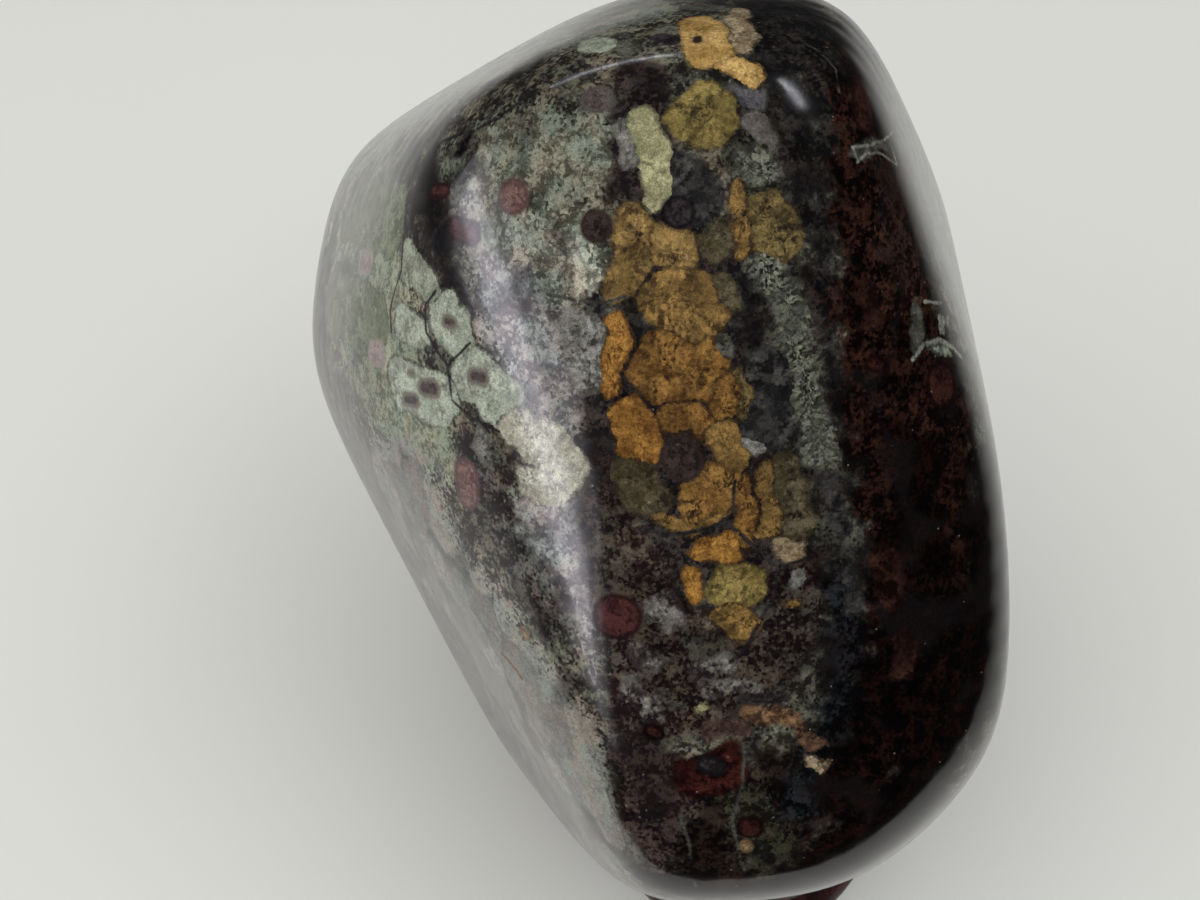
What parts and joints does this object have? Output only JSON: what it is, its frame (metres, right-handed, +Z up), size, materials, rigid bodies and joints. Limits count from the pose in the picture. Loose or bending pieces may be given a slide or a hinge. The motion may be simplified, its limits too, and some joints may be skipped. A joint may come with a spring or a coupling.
{
  "type": "suiseki viewing stone",
  "caption": "Rounded, polished orbicular jasper viewing stone that leans back in the socket of a low oval stand of dark wood.",
  "frame": {"origin": "middle of the footprint of the box around stone and stand, on the surface that the stand rests on", "axes": "+Z up, -Y the way the stone's broad face looks, +X to the right as seen from that side"},
  "size_m": [0.1022, 0.1278, 0.1595],
  "materials": {
    "polished_jasper": "polished orbicular jasper, dark red to black with ochre, orange and sage green round markings",
    "dark_rosewood": "dark maroon hardwood, rubbed to a satin polish"
  },
  "bodies": {
    "root": {"stone": "polished_jasper", "stand": "dark_rosewood"}
  },
  "joints": []
}
